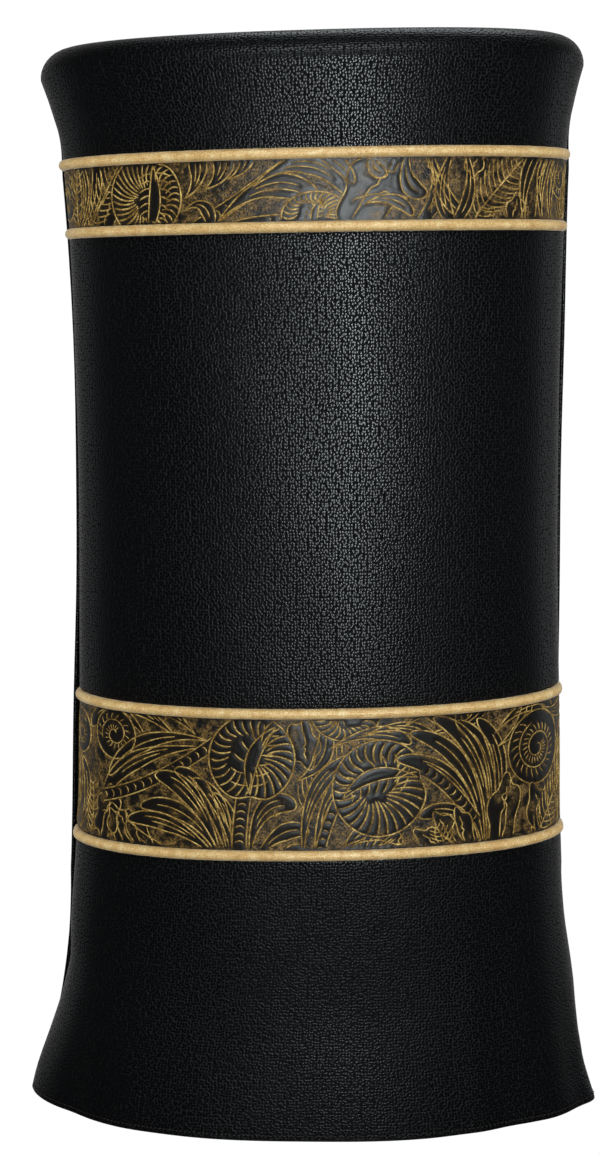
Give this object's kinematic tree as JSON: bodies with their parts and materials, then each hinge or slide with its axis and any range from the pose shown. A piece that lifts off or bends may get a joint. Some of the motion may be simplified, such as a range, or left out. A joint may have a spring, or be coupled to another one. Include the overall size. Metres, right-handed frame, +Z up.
{
  "type": "scroll mantle",
  "caption": "Tall oval leather sleeve with a padded closed top, roller holes, side slits, gold pipings, tooled bands and an open flared hem.",
  "frame": {"origin": "on the floor under the middle of the mantle", "axes": "+Z up, from the hem to the padded top; the decorated front faces -Y; +X to the right as seen from the front"},
  "size_m": [0.422, 0.2, 0.7616],
  "materials": {
    "black_leather": "black pebbled cowhide, semi-gloss",
    "tooled_leather": "embossed leather, near-black with antique gold rubbed into the tooling",
    "gold_piping": "pale gold lame fabric with a soft metallic sheen",
    "cotton_cord": "undyed twisted cotton",
    "satin_lining": "black satin",
    "stiffener": "woven stiffener, undyed",
    "plywood": "birch plywood, sanded",
    "foam": "soft upholstery foam",
    "black_thread": "waxed thread, dark grey-black"
  },
  "bodies": {
    "top": {"top_cover": "black_leather", "top_pad": "foam", "top_board": "plywood", "top_lining": "satin_lining", "left_roller_binding": "black_leather", "right_roller_binding": "black_leather", "front_yoke": "black_leather", "back_yoke": "black_leather", "front_yoke_lining": "satin_lining", "back_yoke_lining": "satin_lining"},
    "front_flap": {"front_upper_band": "tooled_leather", "front_middle_panel": "black_leather", "front_lower_band": "tooled_leather", "front_skirt": "black_leather", "piping_1_cover": "gold_piping", "piping_1_cord": "cotton_cord", "piping_2_cover": "gold_piping", "piping_2_cord": "cotton_cord", "piping_3_cover": "gold_piping", "piping_3_cord": "cotton_cord", "piping_4_cover": "gold_piping", "piping_4_cord": "cotton_cord", "front_interlining": "stiffener", "front_lining": "satin_lining", "front_hem_thread": "black_thread"},
    "back_flap": {"back_panel": "black_leather", "back_interlining": "stiffener", "back_lining": "satin_lining", "back_hem_thread": "black_thread", "back_right_edge_thread": "black_thread", "back_left_edge_thread": "black_thread"}
  },
  "joints": [
    {"name": "front_flap_bend", "type": "hinge", "parent": "top", "child": "front_flap", "pos_m": [0, -0.09236, 0.68348], "axis": [-1, 0, 0], "range_deg": [0, 20], "stiffness_Nm_per_rad": 4.5},
    {"name": "back_flap_bend", "type": "hinge", "parent": "top", "child": "back_flap", "pos_m": [0, 0.09236, 0.68348], "axis": [1, 0, 0], "range_deg": [0, 20], "stiffness_Nm_per_rad": 4.5}
  ]
}
